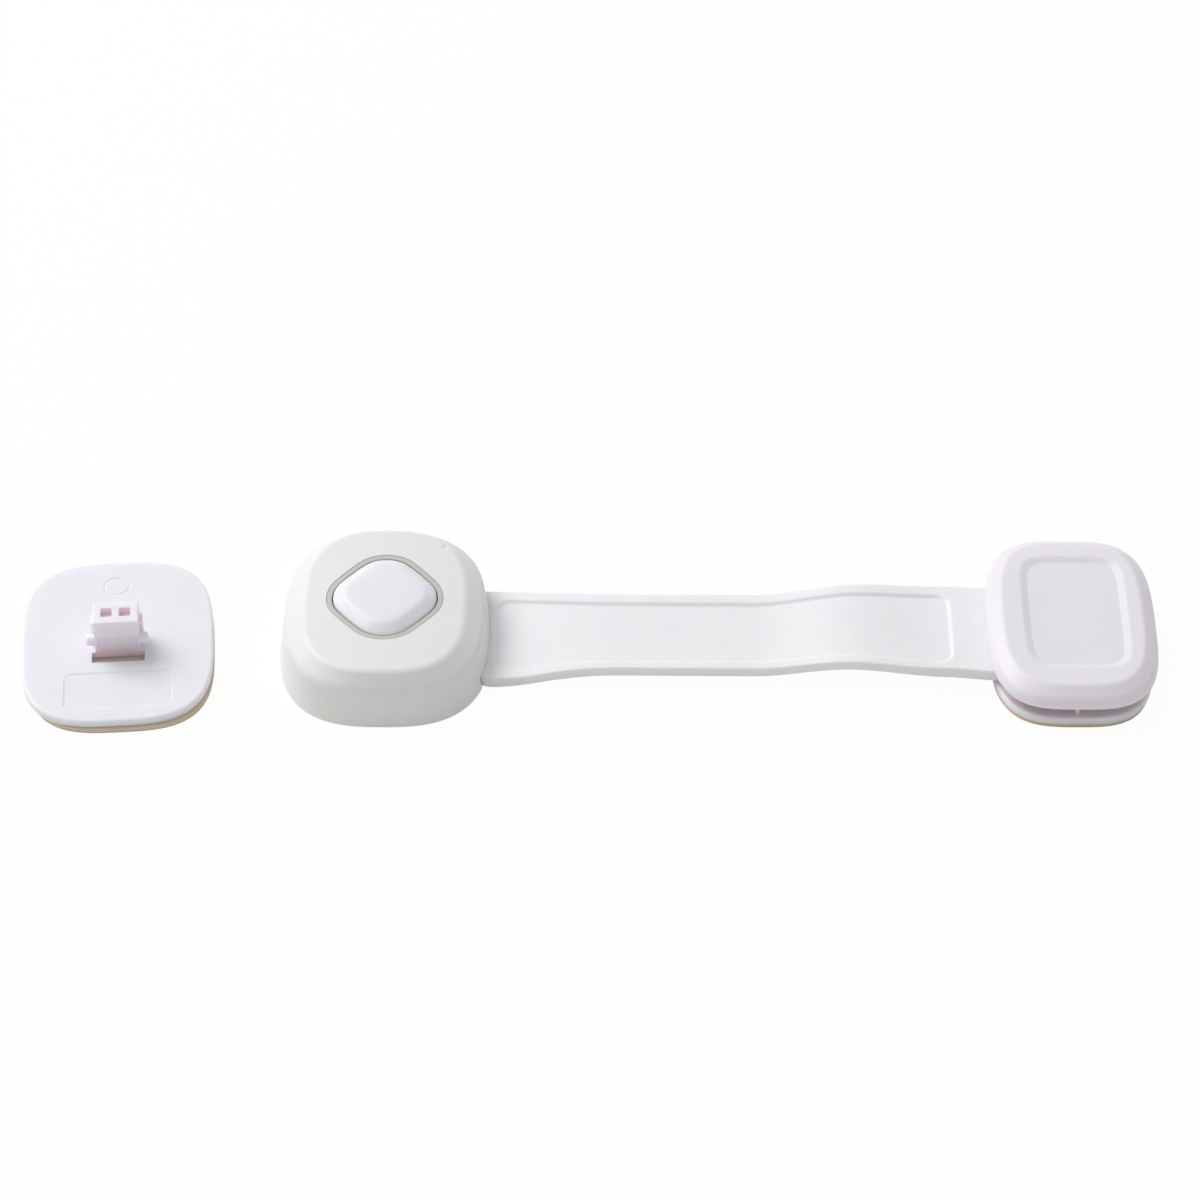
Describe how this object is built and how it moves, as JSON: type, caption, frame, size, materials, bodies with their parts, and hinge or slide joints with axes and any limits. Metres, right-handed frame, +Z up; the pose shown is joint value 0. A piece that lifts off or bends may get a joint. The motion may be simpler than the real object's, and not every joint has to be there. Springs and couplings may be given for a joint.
{
  "type": "strap lock",
  "caption": "Stick-on safety strap lock: push-button lock head on a flexible strap with a swivelling anchor pad, and a loose catch plate with a hook post.",
  "frame": {"origin": "middle of the footprint of the whole set, lock and loose catch plate, on the surface they lie on", "axes": "+X along the strap from the lock head to the anchor, -Y to the front, where the catch post's lip faces, +Z up, out of the surface"},
  "size_m": [0.2836, 0.0628, 0.0168],
  "materials": {
    "head_plastic": "satin warm white ABS",
    "cool_plastic": "satin cool white ABS",
    "strap_plastic": "flexible white plastic, satin",
    "bezel_plastic": "light warm grey plastic, satin",
    "inner_plastic": "natural moulded plastic",
    "steel": "zinc plated",
    "pad_foam": "tan adhesive foam",
    "liner_paper": "tan coated release paper"
  },
  "bodies": {
    "lock_head": {"head_shell": "head_plastic", "head_base": "head_plastic", "button_bezel": "bezel_plastic", "latch_spring_left": "steel", "latch_spring_right": "steel", "head_screw_1": "steel", "head_screw_2": "steel", "head_screw_3": "steel", "head_screw_4": "steel", "strap_head_end": "strap_plastic", "strap_flex_middle": "strap_plastic"},
    "push_button": {"button": "cool_plastic"},
    "latch": {"latch_slide": "inner_plastic"},
    "strap_far_end": {"strap_anchor_end": "strap_plastic"},
    "anchor": {"anchor_base": "cool_plastic", "anchor_cap": "cool_plastic", "anchor_screw": "steel", "anchor_pad": "pad_foam", "anchor_liner": "liner_paper"},
    "catch": {"catch_plate": "cool_plastic", "catch_pad": "pad_foam", "catch_liner": "liner_paper"}
  },
  "joints": [
    {"name": "button_press", "type": "slide", "parent": "lock_head", "child": "push_button", "axis": [0, 0, -1], "range_m": [0, 0.002], "stiffness_N_per_m": 1500, "springref_m": -0.0015},
    {"name": "latch_travel", "type": "slide", "parent": "lock_head", "child": "latch", "axis": [0, -1, 0], "range_m": [0, 0.0016], "deforming": ["latch_spring_left", "latch_spring_right"]},
    {"name": "strap_bend", "type": "hinge", "parent": "lock_head", "child": "strap_far_end", "pos_m": [0.03778, 0.00118, 0.00335], "axis": [0, -1, 0], "range_deg": [-90, 90], "stiffness_Nm_per_rad": 0.05, "deforming": ["strap_flex_middle"]},
    {"name": "anchor_swivel", "type": "hinge", "parent": "strap_far_end", "child": "anchor", "pos_m": [0.12071, 0.00008, 0.005], "axis": [0, 0, 1], "range_deg": [-40, 40]},
    {"name": "catch_place", "type": "slide", "parent": "lock_head", "child": "catch", "axis": [1, 0, 0], "range_m": [-0.03, 0.012]}
  ],
  "couplings": [
    {"joint": "latch_travel", "follows": "button_press", "ratio": 0.8}
  ]
}
